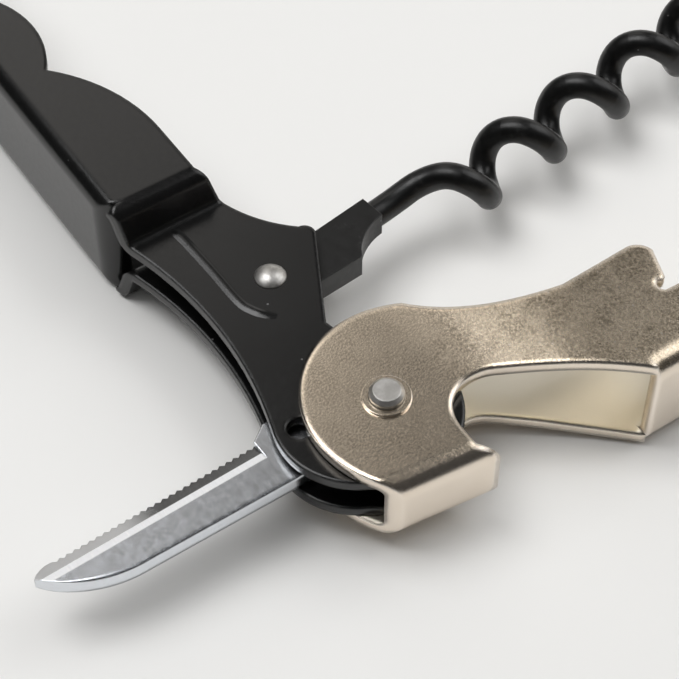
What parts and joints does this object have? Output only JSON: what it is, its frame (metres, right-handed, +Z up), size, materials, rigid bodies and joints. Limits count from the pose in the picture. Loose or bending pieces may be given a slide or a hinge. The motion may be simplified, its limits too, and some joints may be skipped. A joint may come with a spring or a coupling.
{
  "type": "lever corkscrew",
  "caption": "Folding waiter's corkscrew with a sheet-steel handle, a coated worm, a serrated foil knife and a two-step hinged lever with cap opener.",
  "frame": {"origin": "on the flat of the handle's lower cheek, which rests on the table", "axes": "+X along the handle towards the lever pivot, +Y towards the finger side where the opened worm points, +Z up from the table, along every hinge axis"},
  "size_m": [0.1146, 0.1094, 0.014],
  "materials": {
    "black_coat": "satin",
    "worm_coat": "semi-gloss",
    "nickel_plate": "satin",
    "blade_steel": "polished",
    "rivet_steel": "polished"
  },
  "bodies": {
    "handle": {"handle_frame": "black_coat", "worm_rivet": "rivet_steel", "lever_rivet": "rivet_steel", "knife_washers": "rivet_steel"},
    "lever": {"lever_first_arm": "nickel_plate", "arm_rivet": "rivet_steel"},
    "second_arm": {"lever_second_arm": "nickel_plate"},
    "worm": {"worm": "worm_coat"},
    "knife": {"foil_knife": "blade_steel"}
  },
  "joints": [
    {"name": "lever_fold", "type": "hinge", "parent": "handle", "child": "lever", "pos_m": [0.062, 0.0075, 0.007], "axis": [0, 0, 1], "range_deg": [-12, 87]},
    {"name": "worm_fold", "type": "hinge", "parent": "handle", "child": "worm", "pos_m": [0.0414, 0.0071, 0.007], "axis": [0, 0, 1], "range_deg": [-12.5, 88.5]},
    {"name": "arm_fold", "type": "hinge", "parent": "lever", "child": "second_arm", "pos_m": [0.07205, 0.0463, 0.007], "axis": [0, 0, 1], "range_deg": [-75, 0]},
    {"name": "knife_fold", "type": "hinge", "parent": "handle", "child": "knife", "pos_m": [0.062, 0.0075, 0.007], "axis": [0, 0, 1], "range_deg": [-66, 15]}
  ],
  "couplings": [
    {"joint": "worm_fold", "follows": "lever_fold", "ratio": 1.01}
  ]
}
